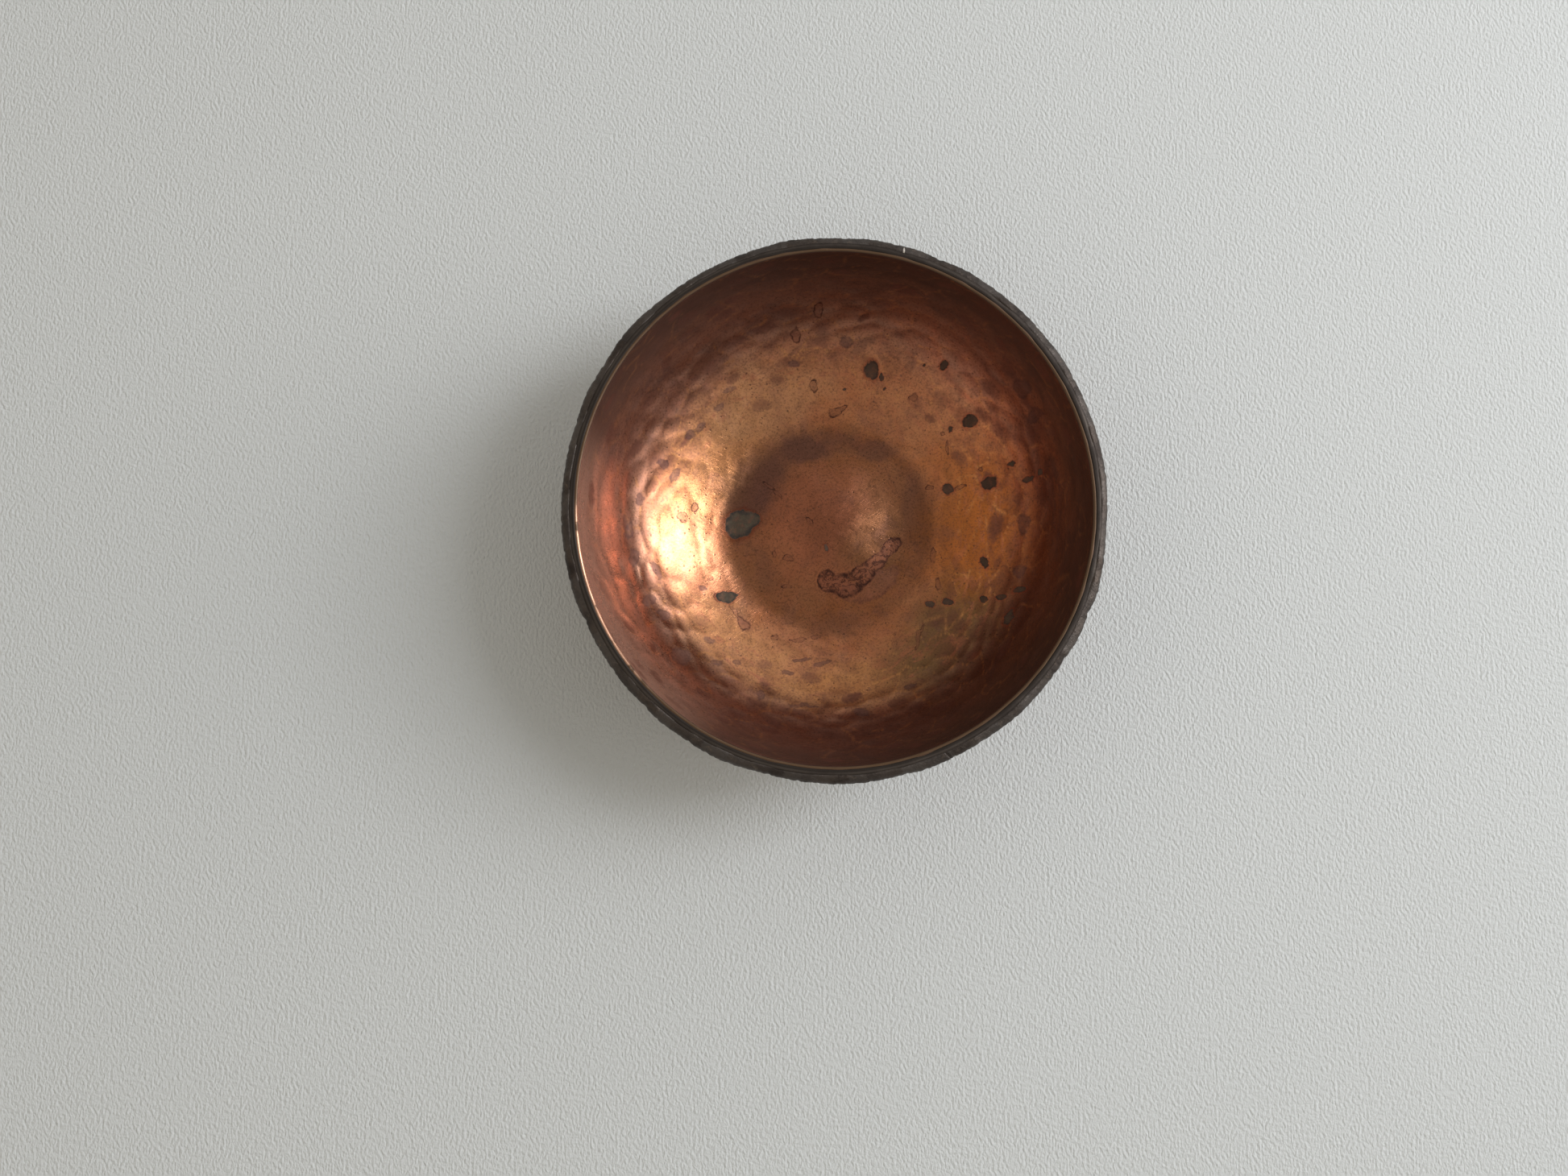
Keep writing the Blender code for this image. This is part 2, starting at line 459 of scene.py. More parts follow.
# Stains inside the bowl, ovals in millimetres: (x, y, length, width, turn in degrees).
CRUSTS = (
    (-27.5, 1, 9.4, 8.4, 35), (-24, 2.5, 6.0, 4.6, 5),
    (-31, -21.5, 6.0, 4.0, 8),
)
WATER_MARK = (
    (-0.5, -16.5, 6.0, 7.4, 0), (5.0, -18.0, 10.5, 7.0, -12), (10.0, -14.5, 9.5, 6.4, 30),
    (14.5, -10.5, 9.5, 5.0, 42), (19.0, -6.0, 8.0, 4.2, 42),
)
WATER_SHADE = ((15.0, -17.5, 17.0, 7.0, 38), (8.0, -20.0, 10.0, 6.0, 0))
DROPS = (
    (13, 47.5, 4.4, 5.6, 10), (42.5, 31, 4.4, 4.2, 0), (48, 12.5, 4.4, 4.2, 20),
    (36.5, 11.5, 3.6, 3.2, 0), (46.5, -11.5, 2.4, 4.2, 5), (35.5, -23, 3.2, 2.0, 0),
    (30.5, -23.5, 2.6, 1.8, -20), (45.5, -22.5, 2.4, 1.6, 5), (50.5, -22.5, 2.6, 1.8, 10),
    (55, -20.5, 3.2, 2.2, 15), (34, 47, 2.6, 2.4, 0), (54, 17, 1.8, 1.6, 0),
    (58, 12, 2.2, 2.0, 0), (60.5, 13.5, 1.8, 2.4, 0), (-1, -6.5, 1.3, 3.6, 12),
    (51.5, -28.5, 2.0, 5.4, -25), (28.5, 47.5, 0.9, 0.9, 0), (16, 45.5, 1.4, 2.2, 0),
    (17, 42, 1.0, 1.2, 0), (37, 29.5, 1.4, 2.0, 0), (5, 42.5, 0.9, 1.0, 0),
)
RUST_MARKS = (
    (-26.0, -29.5, 5.4, 3.0, -50), (-29.0, -26.0, 5.0, 1.3, -54), (-33.5, -22.0, 2.2, 3.4, 20),
    (2, 36, 4.4, 3.2, 20), (4.5, 37, 3.2, 1.6, 30), (-4.5, 43.5, 2.6, 3.6, 0),
    (31, 12.5, 2.6, 1.5, 0), (40, 12, 3.4, 1.5, 5), (32, -8.5, 1.3, 5.0, -5),
    (-13, -18, 3.0, 1.4, 0), (-18, 13, 4.6, 1.2, -32), (-15.5, 10.5, 3.2, 1.2, -40),
    (-16.5, -33.5, 2.8, 1.6, 0), (-9.5, -34.5, 5.2, 1.3, -4), (-4, -33.5, 3.2, 1.4, 8),
    (27, -33.5, 1.0, 9.6, -18), (-10, 56.5, 3.2, 3.4, 0), (-3.5, 62, 3.0, 3.0, 0),
    (36, 24, 1.0, 4.4, 3), (34.5, 28.5, 1.6, 1.2, 30), (33, -17.5, 1.8, 4.0, -8),
    (-16.5, -8, 1.6, 2.2, 10), (-12.5, -9.5, 3.6, 1.8, -10), (-6, 2, 1.8, 2.4, 30),
    (-36, -16, 2.2, 1.4, 40), (-44.5, 2.5, 3.0, 3.6, 30), (-41, 5.5, 2.4, 3.2, -30),
    (25.5, 39.5, 3.4, 2.6, 30), (46, 17, 1.4, 1.4, 0), (-34.5, 16, 1.8, 1.2, 0),
)
DIM_MARKS = (
    (-50, 18, 2.7, 3, 20), (-46.5, 15, 2.1, 4.4, -28), (-57.5, -11, 2.5, 5, 5),
    (-51.5, -14.5, 2.1, 5.9, 20), (-53, -23.5, 3, 4, 20), (-38, -19, 2.8, 1.5, -15),
    (-43.5, -40, 5.9, 5, -35), (-27.5, -41, 2.7, 1.9, 0), (-33.5, -41.5, 3.4, 1.9, -10),
    (-36, -35, 3.3, 1.9, -15), (-39, 30, 3.7, 2.1, 45), (-42, 27.5, 4.1, 2.5, 50),
    (-30.5, 41, 4.1, 1.6, 28), (-33.5, 36, 4, 1.8, 35), (-8, -54, 9.6, 1.1, -4),
    (-20.5, -51, 2.4, 3.4, 20), (9, -56, 4.4, 2.4, 5), (23.5, -48.5, 4, 1.5, 24),
    (57, -0.5, 2.7, 6.7, -3), (55.5, -15, 3.4, 4.4, -20), (58.5, 29, 3, 4.4, 25),
    (54.5, 36.5, 3, 5.9, 30), (-8.5, -40.5, 5.2, 1.2, 8), (-2, -41.5, 5.9, 1.3, 12),
    (-12.5, -44.5, 3, 1.5, 0), (-10.5, 49.5, 3.7, 2.2, 0), (5, 55, 4.4, 3, 0),
    (-56.5, 6.5, 2.2, 3.7, 0), (-59, -3, 2.2, 5.2, 0), (-49, -27.5, 3, 3.7, 30),
)
# Old lacquer and painted light: ovals as above, their colour and its strength. The raised middle
# is redder. The ring it stands on is plum, partly tarnish and partly painted shade where its
# flanks face the dark side of the room. The right is burnt orange, painted shade and painted
# reflected glow where the wall faces away from the window, and the lower right is olive. The
# teak oval on the raised middle's right flank is painted shade that dims its highlight.
LACQUER_AND_PAINTED_LIGHT = (
    (((-3, 1, 40, 38, 0),), TERRACOTTA, 0.80),
    (((-22, 12, 17, 30, -35), (-8, 25, 26, 11, 12)), PLUM, 0.72),
    (((27, 5, 10, 28, 10), (12, 25, 20, 7, -25)), PLUM, 0.50),
    (((1, -30, 20, 9, 0), (-21, -12, 7, 16, 20)), PLUM, 0.25),
    (((-36, 20, 26, 60, -25), (-30, -38, 50, 22, -35)), GOLDEN, 0.40),
    (((-20, 38, 46, 22, 25),), PALE_GOLD, 0.50),
    (((2, -50, 66, 15, 2), (28, -46, 20, 14, 30)), DEEP_GOLD, 0.55),
    (((48, -6, 42, 70, 5),), BURNT_ORANGE, 0.85),
    (((37, -36, 48, 32, 45),), OLIVE, 0.80),
    (((15, -4, 22, 32, 0),), TEAK, 0.75),
)
# Kinds of stain: where they are, their colour and their edge's, the strength of both, the reach
# where they begin and where they are full, and whether they stand on the metal as a crust.
STAIN_KINDS = (
    (DIM_MARKS, (0.115, 0.058, 0.058, 1), (0.068, 0.030, 0.030, 1), 0.60, 0.50, 1.20, 0.72, False),
    (RUST_MARKS, (0.24, 0.085, 0.050, 1), (0.060, 0.021, 0.016, 1), 0.45, 0.95, 1.15, 0.88, False),
    (WATER_SHADE, (0.30, 0.115, 0.080, 1), (0.16, 0.055, 0.040, 1), 0.45, 0.50, 1.10, 0.85, False),
    (WATER_MARK, (0.30, 0.100, 0.060, 1), (0.045, 0.016, 0.012, 1), 0.65, 0.95, 1.10, 0.90, False),
    (DROPS, (0.070, 0.046, 0.032, 1), (0.030, 0.014, 0.011, 1), 0.90, 0.85, 1.05, 0.82, True),
    (CRUSTS, (0.050, 0.043, 0.025, 1), (0.016, 0.012, 0.009, 1), 0.95, 0.90, 1.06, 0.94, True),
)


def nearest_stain(tree, position, stains):
    """The reach of the nearest of several stains; where two touch they run together."""
    reach = None
    for x, y, length, width, turned in stains:
        one = place_group(tree, stain_group, {
            "Position": position,
            "Middle": (x / 1000, y / 1000, 0.0),
            "Spread": (2000 / length, 2000 / width, 0.0),
            "Turn": math.radians(turned),
        })["Reach"]
        reach = one if reach is None else calc(tree, "SMOOTH_MIN", reach, one, 0.35)
    return reach


def wander(tree, position, scale, width):
    """Moves positions about by up to half the width, so that edges wander."""
    feeds = {"Vector": position, "Scale": scale, "Detail": 4.0, "Roughness": 0.6}
    noise = add(tree, "TexNoise", feeds).outputs["Color"]
    shift = add(tree, "VectorMath", {0: noise, 1: (0.5, 0.5, 0.5)}, operation="SUBTRACT")
    shift = add(tree, "VectorMath", {0: shift.outputs[0], "Scale": width * 2}, operation="SCALE")
    return add(tree, "VectorMath", {0: position, 1: shift.outputs[0]}, operation="ADD").outputs[0]


def product(tree, *masks):
    """How strongly several masks hold together."""
    result = masks[0]
    for mask in masks[1:]:
        result = calc(tree, "MULTIPLY", result, mask)
    return result


def facing(tree, heading, aim, start, full):
    """Goes from 0 to 1 as a heading turns towards an aim, by the cosine between them."""
    cosine = add(tree, "VectorMath", {0: heading, 1: aim}, operation="DOT_PRODUCT")
    return step(tree, cosine.outputs["Value"], start, full)


def patchy(tree, position, patches, start, full):
    feeds = {"Position": position, "Patches": patches, "Start": start, "Full": full}
    return place_group(tree, tarnish_group, feeds)["Mask"]


def streaky(tree, position, along, around, fineness):
    feeds = {"Position": position, "Along": along, "Around": around, "Fineness": fineness}
    return place_group(tree, streak_group, feeds)["Value"]


def new_material(name):
    material = bpy.data.materials.new(name)
    material.use_nodes = True
    tree = material.node_tree
    return material, tree, tree.nodes["Principled BSDF"]


def read_shell(tree):
    """What the masks start from: where a point is, what the hammer did there, and the left side, where
    the wall is painted lighter as a painted reflection of the window.
    """
    position = add(tree, "TexCoord").outputs["Object"]
    flat = add(tree, "VectorMath", {0: position, 1: (1.0, 1.0, 0.0)}, operation="MULTIPLY")
    heading = add(tree, "VectorMath", {0: flat.outputs[0]}, operation="NORMALIZE").outputs[0]
    along = label(tree, "along")
    # The left side: painted lighter there, a painted reflection of the window.
    painted_reflection = facing(tree, heading, PAINTED_REFLECTION_AT, 0.72, 0.94)
    wall = step(tree, along, 0.030, 0.052)
    streaks = streaky(tree, position, along, 0.020, 330.0)
    uneven = cloud(tree, position, 480.0, 3.0, 0.6)
    ragged = calc(tree, "ADD", label(tree, "hollow"), calc(tree, "MULTIPLY_ADD", uneven, 1.2, -0.6))
    deep = step(tree, label(tree, "mark"), 0.50, 1.00)
    return SimpleNamespace(
        position=position,
        heading=heading,
        along=along,
        face=label(tree, "face"),
        ridge=label(tree, "ridge"),
        wall=wall,
        to_rim=step(tree, calc(tree, "MULTIPLY_ADD", streaks, 0.016, along), 0.070, 0.101),
        painted_reflection=painted_reflection,
        # Everywhere but the left, which gets the painted reflection; also where the wall is rougher.
        away_from_painted_reflection=calc(tree, "MULTIPLY_ADD", painted_reflection, -0.65, 1.0),
        mottle=patchy(tree, position, 190.0, 0.42, 0.66),
        streaks=streaks,
        uneven=uneven,
        held=product(tree, step(tree, ragged, 0.30, 0.95), deep, wall),
    )


def colour_copper(tree, at):
    """Tan and orange copper in broad patches, redder in small ones, under old lacquer and ovals of
    painted shade and painted reflection.
    """
    colour = layer(tree, TAN, ORANGE, patchy(tree, at.position, 36.0, 0.42, 0.62))
    colour = layer(tree, colour, TERRACOTTA, product(tree, at.mottle, 0.45))
    soft = wander(tree, at.position, 60.0, 0.009)
    for ovals, lacquer, strength in LACQUER_AND_PAINTED_LIGHT:
        cover = step(tree, nearest_stain(tree, soft, ovals), 1.30, 0.45)
        colour = layer(tree, colour, lacquer, product(tree, cover, strength))
    return colour


def brown_wall(tree, colour, at):
    """The wall browns towards the rim in streaks and smudges. On the left, where it faces the
    window, the brown is painted lighter and mauve and the smoke is kept off, a painted reflection
    of the window; near the rim on the lower right it is painted darker, a painted shade. The
    deeper hammer marks hold tarnish, and the ridges between them are rubbed to thin veins."""
    position, along = at.position, at.along
    fine_streaks = step(tree, streaky(tree, position, along, 0.040, 1100.0), 0.54, 0.70)
    bands = step(tree, streaky(tree, position, along, 0.026, 120.0), 0.46, 0.62)
    blotches = patchy(tree, position, 95.0, 0.50, 0.66)
    smudges = patchy(tree, position, 130.0, 0.44, 0.60)
    smudge_start = step(tree, along, 0.042, 0.060)
    smudge_end = step(tree, along, 0.080, 0.062, 0.0, 0.60)
    orange_side = facing(tree, at.heading, (0.985, -0.17, 0.0), 0.45, 0.95)
    lower_side = facing(tree, at.heading, (0.60, -0.80, 0.0), 0.10, 0.80)
    greyed = calc(tree, "MULTIPLY_ADD", orange_side, -0.38, 0.55)
    # The rim's brown film, painted lighter on the left as a painted reflection.
    film = layer(tree, RIM_BROWN, PAINTED_REFLECTION_BROWN, at.painted_reflection)
    broken = step(tree, cloud(tree, position, 150.0, 2.0, 0.5), 0.42, 0.58)
    coats = (
        (TERRACOTTA, (step(tree, at.streaks, 0.50, 0.68), at.wall, 0.65)),
        (PLUM, (fine_streaks, at.wall, 0.55)),
        (PLUM, (blotches, 0.32)),
        # Smoke and dark bands are kept off the left, where the wall is painted lighter as a painted
        # reflection.
        (SMOKE, (smudges, at.away_from_painted_reflection, smudge_start, smudge_end)),
        (DARK_SMOKE, (bands, step(tree, along, 0.055, 0.074), at.away_from_painted_reflection, 0.75)),
        (GREY_TAN, (step(tree, along, 0.050, 0.068), greyed)),
        # Painted shade: darker red-brown near the rim on the lower right, where the wall faces away
        # from the window.
        (RED_PAINTED_SHADE, (step(tree, along, 0.058, 0.072), lower_side, 0.50)),
        (film, (at.to_rim, 0.92)),
        # Painted reflection: mauve near the rim on the left, where the wall mirrors the window.
        (MAUVE, (at.painted_reflection, step(tree, along, 0.052, 0.072, 0.0, 0.38))),
        (HOLLOW_BROWN, (at.held, 0.75)),
        (VEIN_ORANGE, (at.ridge, at.wall, broken, step(tree, along, 0.060, 0.084, 0.50, 0.20))),
    )
    for coat, masks in coats:
        colour = layer(tree, colour, coat, product(tree, *masks))
    return colour


def add_stains(tree, colour, at):
    """Water stains with wandering edges. Also gives how far they have dulled the metal."""
    warped = wander(tree, wander(tree, at.position, 260.0, 0.0016), 1100.0, 0.0003)
    crust_grain = step(tree, cloud(tree, at.position, 900.0, 3.0, 0.6), 0.52, 0.66)
    thin_places = step(tree, at.uneven, 0.15, 0.55, 0.55, 1.0)
    ring_breaks = step(tree, at.uneven, 0.35, 0.60, 0.25, 1.0)
    dull = 0.0
    for stains, body, edge, strength, edge_strength, outer, inner, crusty in STAIN_KINDS:
        reach = nearest_stain(tree, warped, stains)
        if crusty:
            halo = product(tree, step(tree, reach, 1.35, 1.05), at.face, 0.55)
            colour = layer(tree, colour, RUST_RED, halo)
        mask = product(tree, step(tree, reach, outer, inner), at.face)
        cover = product(tree, mask, thin_places, strength)
        colour = layer(tree, colour, body, cover)
        if crusty:
            colour = layer(tree, colour, CRUST_LIGHT, product(tree, crust_grain, cover, 0.6))
        ring = product(tree, step(tree, reach, 0.62, 0.92), mask, ring_breaks, edge_strength)
        colour = layer(tree, colour, edge, ring)
        dull = calc(tree, "MAXIMUM", dull, product(tree, cover, 1.0 if crusty else 0.25))
    # Brown veins where the long water mark dried.
    crease = calc(tree, "SUBTRACT", cloud(tree, warped, 230.0, 3.0, 0.6, 1.2), 0.5)
    vein = step(tree, calc(tree, "ABSOLUTE", crease), 0.050, 0.0)
    in_mark = step(tree, nearest_stain(tree, warped, WATER_MARK), 1.0, 0.8)
    return layer(tree, colour, DRIED_BROWN, product(tree, vein, in_mark, 0.85)), dull


def add_specks(tree, colour, at):
    """Pits half a millimetre across or less, thicker in some places, and fine grime."""
    cells = add(tree, "TexVoronoi", {"Vector": at.position, "Scale": 640.0, "Randomness": 1.0})
    number = add(tree, "SeparateColor", {0: cells.outputs["Color"]}).outputs[0]
    bar = step(tree, cloud(tree, at.position, 60.0, 2.0, 0.5), 0.38, 0.65, 0.95, 0.62)
    picked = calc(tree, "GREATER_THAN", number, bar)
    speck = product(tree, step(tree, cells.outputs["Distance"], 0.24, 0.10), picked)
    grime = step(tree, cloud(tree, at.position, 1500.0, 3.0, 0.7), 0.46, 0.68)
    colour = layer(tree, colour, DARK_BROWN, product(tree, speck, 0.65))
    return layer(tree, colour, DARK_BROWN, product(tree, grime, 0.48)), speck


def add_outside(tree, colour, at):
    """The outside is darker, patchy, and a little worn on the ridges between blows."""
    outer = layer(tree, OUTER_COPPER, OUTER_BROWN, patchy(tree, at.position, 60.0, 0.36, 0.62))
    outer = layer(tree, outer, WORN_COPPER, product(tree, at.ridge, 0.45))
    return layer(tree, outer, colour, step(tree, at.face, 0.25, 0.6))


def add_lip(tree, colour, at):
    """The lip is browned and gold along its top, with a painted highlight on its left arc, where its
    inner side faces the window.
    """
    lip = product(tree, step(tree, at.face, 0.1, 0.4), step(tree, at.face, 0.99, 0.8))
    crest = product(tree, step(tree, at.face, 0.30, 0.45), step(tree, at.face, 0.86, 0.66))
    # Painted highlight: the lip's left arc, which faces the window.
    bright = product(
        tree,
        facing(tree, at.heading, PAINTED_REFLECTION_AT, 0.91, 0.985),
        step(tree, at.face, 0.30, 0.60),
        step(tree, at.face, 0.99, 0.85),
        step(tree, cloud(tree, at.position, 260.0), 0.36, 0.50),
    )
    colour = layer(tree, colour, LIP_BROWN, product(tree, lip, 0.95))
    colour = layer(tree, colour, LIP_GOLD, product(tree, crest, 0.90))
    return layer(tree, colour, LIP_PAINTED_HIGHLIGHT, bright), lip, bright


def make_polished_copper():
    material, tree, shader = new_material("polished_copper")
    at = read_shell(tree)
    colour = colour_copper(tree, at)
    colour = brown_wall(tree, colour, at)
    colour, dull = add_stains(tree, colour, at)
    colour, speck = add_specks(tree, colour, at)
    colour = add_outside(tree, colour, at)
    colour, lip, bright = add_lip(tree, colour, at)
    tree.links.new(colour, shader.inputs["Base Color"])

    scratch = place_group(tree, scratch_group, {"Position": at.position, "Fineness": 240.0})["Mask"]
    hammered = product(tree, step(tree, at.along, 0.040, 0.060), at.away_from_painted_reflection)
    outside = step(tree, at.face, 0.6, 0.1)
    rough = calc(tree, "MULTIPLY_ADD", at.mottle, 0.08, 0.21)
    for mask, rougher in (
        (hammered, 0.16), (dull, 0.46), (at.held, 0.08), (scratch, 0.08),
        (outside, 0.14), (lip, 0.14), (bright, -0.18),
    ):
        rough = calc(tree, "MULTIPLY_ADD", mask, rougher, rough)
    tree.links.new(rough, shader.inputs["Roughness"])

    bare = calc(tree, "MULTIPLY_ADD", at.to_rim, -0.45, 1.0)
    bare = calc(tree, "MINIMUM", bare, calc(tree, "MULTIPLY_ADD", dull, -0.80, 1.0))
    tree.links.new(bare, shader.inputs["Metallic"])

    grain = cloud(tree, at.position, 700.0, 4.0, 0.6)
    relief = calc(tree, "MULTIPLY_ADD", scratch, -0.15, grain)
    relief = calc(tree, "MULTIPLY_ADD", speck, -0.8, relief)
    bump = add(tree, "Bump", {"Height": relief, "Strength": 0.45, "Distance": 0.00006})
    tree.links.new(bump.outputs[0], shader.inputs["Normal"])
    return material


shell.data.materials.append(make_polished_copper())
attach(shell, "root")
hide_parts("bowl_shell")

# ------------------------------------------------------------------------------------------
# Rim solder. A ring of hard solder that ran between the shell and the band, browned by heat:
# a thin bead shows along the lip, and a fillet is left under the band.

DULL_BRASS = (0.068, 0.053, 0.044, 1)
HEATED_BRASS = (0.038, 0.028, 0.023, 1)
BEAD_BROWN = (0.024, 0.017, 0.013, 1)
BAND_INNER = LIP_RADIUS + 0.0009
BAND_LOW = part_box("rim_band")[0][2]
BEAD_UNEVENNESS = 0.00007
solder_outline = [
    (LIP_RADIUS - 0.00040, LIP_HEIGHT - 0.0004), (LIP_RADIUS - 0.00035, LIP_HEIGHT - 0.00009),
    (LIP_RADIUS + 0.00010, LIP_HEIGHT - 0.00007), (LIP_RADIUS + 0.00065, LIP_HEIGHT - 0.00010),
    (BAND_INNER + 0.00030, LIP_HEIGHT - 0.00012), (BAND_INNER + 0.00020, LIP_HEIGHT - 0.0006),
    (BAND_INNER + 0.00002, BAND_LOW), (BAND_INNER + 0.0011, BAND_LOW - 0.00005),
    (BAND_INNER + 0.0002, BAND_LOW - 0.0006), (LIP_RADIUS - 0.0003, BAND_LOW - 0.0015),
    (LIP_RADIUS - 0.0001, BAND_LOW),
]
solder = turn_outline("solder_ring", solder_outline, (), 360, closed=True)
points = read_points(solder.data)
turn = np.arctan2(points[:, 1], points[:, 0])
unevenness = BEAD_UNEVENNESS * slow_waves(np.full(len(turn), 0.05), turn * 6, seed=31)
points[:, 2] = np.minimum(points[:, 2] + unevenness, LIP_HEIGHT - 0.00003)
points[:, 0] *= OVAL
write_points(solder.data, points)


def make_brazing_brass():
    material, tree, shader = new_material("brazing_brass")
    position = add(tree, "TexCoord").outputs["Object"]
    heat = patchy(tree, position, 55.0, 0.38, 0.64)
    flat = add(tree, "VectorMath", {0: position, 1: (1 / OVAL, 1.0, 0.0)}, operation="MULTIPLY")
    out = add(tree, "VectorMath", {0: flat.outputs[0]}, operation="LENGTH").outputs["Value"]
    near_lip = step(tree, out, LIP_RADIUS + 0.0006, LIP_RADIUS + 0.0002)
    colour = layer(tree, DULL_BRASS, HEATED_BRASS, heat)
    colour = layer(tree, colour, BEAD_BROWN, product(tree, near_lip, 0.85))
    grain = cloud(tree, position, 1200.0, 3.0, 0.6)
    bump = add(tree, "Bump", {"Height": grain, "Strength": 0.5, "Distance": 0.0001})
    tree.links.new(colour, shader.inputs["Base Color"])
    tree.links.new(calc(tree, "MULTIPLY_ADD", heat, 0.10, 0.52), shader.inputs["Roughness"])
    tree.links.new(bump.outputs[0], shader.inputs["Normal"])
    shader.inputs["Metallic"].default_value = 0.7
    return material


brazing_brass = make_brazing_brass()
solder.data.materials.append(brazing_brass)
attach(solder, "root")
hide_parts("rim_solder")

# ------------------------------------------------------------------------------------------
# Rim band. A copper strip 5 mm wide and 3 mm thick, bent round the rim with its ends meeting
# at the lower right, then hammered all round so that its outer edge is scalloped, and left
# with the nearly black skin of the fire.

BAND_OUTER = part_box("rim_band")[1][0]
BAND_DEPTH = BAND_OUTER - BAND_INNER
BAND_MIDDLE = (LIP_HEIGHT + BAND_LOW) / 2
BAND_HALF = (LIP_HEIGHT - BAND_LOW) / 2
BAND_FLAT = 0.0007
# The notch between two flats of its edge, and the fine burr all round it.
NOTCH_DEPTH = 0.00026
NOTCH_WIDTH = 0.0006
BURR_DEPTH = 0.00007
# Where the band's two ends meet, how their joint slants, and its gap.
JOINT_ANGLE = math.radians(-66.0)
JOINT_SLANT = math.tan(math.radians(20.0))
JOINT_WIDTH = 0.00040


def band_outline(points=22):
    """The band's section: flat against the solder, half round outside."""
    rows = [(BAND_INNER, LIP_HEIGHT - 0.0004), (BAND_INNER + 0.0002, LIP_HEIGHT - 0.0001)]
    for turn in np.linspace(math.pi / 2, -math.pi / 2, points):
        rows.append((
            BAND_INNER + BAND_FLAT + (BAND_DEPTH - BAND_FLAT) * math.cos(turn),
            BAND_MIDDLE + BAND_HALF * math.sin(turn),
        ))
    rows.append((BAND_INNER, BAND_LOW + 0.0002))
    return rows


def facet_line(turn, shortest, longest, drop, seed):
    """Flats from blow to blow round the ring. Gives how far the edge stands in from the full
    circle, the distance to the end of its flat, and the flat's own number."""
    dice = np.random.default_rng(seed)
    ends = [0.0]
    while ends[-1] < math.tau - longest / BAND_OUTER:
        ends.append(ends[-1] + dice.uniform(shortest, longest) / BAND_OUTER)
    ends[-1] = math.tau
    radius = BAND_OUTER - dice.uniform(0.0, drop, len(ends))
    radius[-1] = radius[0]
    x, y = radius * np.cos(ends), radius * np.sin(ends)
    at = np.mod(turn, math.tau)
    flat = np.clip(np.searchsorted(ends, at, side="right") - 1, 0, len(ends) - 2)
    ax, ay, bx, by = x[flat], y[flat], x[flat + 1], y[flat + 1]
    cross = ax * by - ay * bx
    along_chord = (by - ay) * np.cos(at) - (bx - ax) * np.sin(at)
    start = np.asarray(ends)[flat]
    to_end = np.minimum(at - start, np.asarray(ends)[flat + 1] - at) * BAND_OUTER
    return BAND_OUTER - cross / along_chord, to_end, flat


def unroll(piece, first_angle):
    """A spun length of band as radius, height and turn, starting at an angle, ends slanted."""
    points = read_points(piece.data)
    radius = np.hypot(points[:, 0], points[:, 1])
    turn = np.mod(np.arctan2(points[:, 1], points[:, 0]) + 1e-5, math.tau) - 1e-5
    slant = (radius - BAND_INNER - BAND_DEPTH / 2) * JOINT_SLANT / BAND_OUTER
    return radius, points[:, 2], turn + first_angle + slant


def hammer_band(radius, z, turn):
    """Gives the band its flats on the edge, with a notch between two, and over its rounded top."""
    edge, to_end, _ = facet_line(turn, shortest=0.0045, longest=0.0118, drop=0.00070, seed=7)
    top, _, flat = facet_line(turn + 0.3, shortest=0.0045, longest=0.0110, drop=0.00045, seed=19)
    out = np.clip((radius - BAND_INNER) / BAND_DEPTH, 0, 1)
    notch = NOTCH_DEPTH * np.exp(-(to_end / NOTCH_WIDTH) ** 2)
    burr = BURR_DEPTH * (1 + slow_waves(np.full(len(turn), 0.05), turn * 60, seed=47))
    radius = radius - out * (edge + notch + burr)
    up = np.clip((z - BAND_MIDDLE) / BAND_HALF, -1, 1)
    tone = np.mod(flat * 0.618, 1.0)
    z = z - up * np.clip(out * 2, 0, 1) * (top * 0.9 + 0.0001 * tone)
    return radius, z, tone


def set_round(piece, radius, z, turn):
    x = radius * np.cos(turn) * OVAL
    write_points(piece.data, np.stack([x, radius * np.sin(turn), z], axis=1))


joint_turn = JOINT_WIDTH / BAND_OUTER
band_turn = math.tau - joint_turn
band = turn_outline("hammered_rim_band", band_outline(), (), 960, band_turn, closed=True)
radius, z, turn = unroll(band, JOINT_ANGLE + joint_turn / 2)
radius, z, tone = hammer_band(radius, z, turn)
set_round(band, radius, z, turn)
write_label(band.data, "blow", tone)

FIRE_SKIN = (0.062, 0.046, 0.037, 1)
FIRE_BLACK = (0.030, 0.021, 0.017, 1)
BLOW_GREY = (0.105, 0.090, 0.082, 1)
RUBBED_BROWN = (0.20, 0.145, 0.11, 1)
# One bright nick across the top of the band, bare metal painted pale as its glint, and one dark pit on
# its right, painted black as the shade in it; both drawn as stains.
BRIGHT_NICK = (19.1, 69.6, 0.5, 2.8, -6)
NICK_METAL_AND_GLINT = (0.62, 0.56, 0.50, 1)
DARK_PIT = (71.9, -15.4, 1.1, 1.3, 0)
PIT_PAINTED_SHADE = (0.010, 0.008, 0.007, 1)


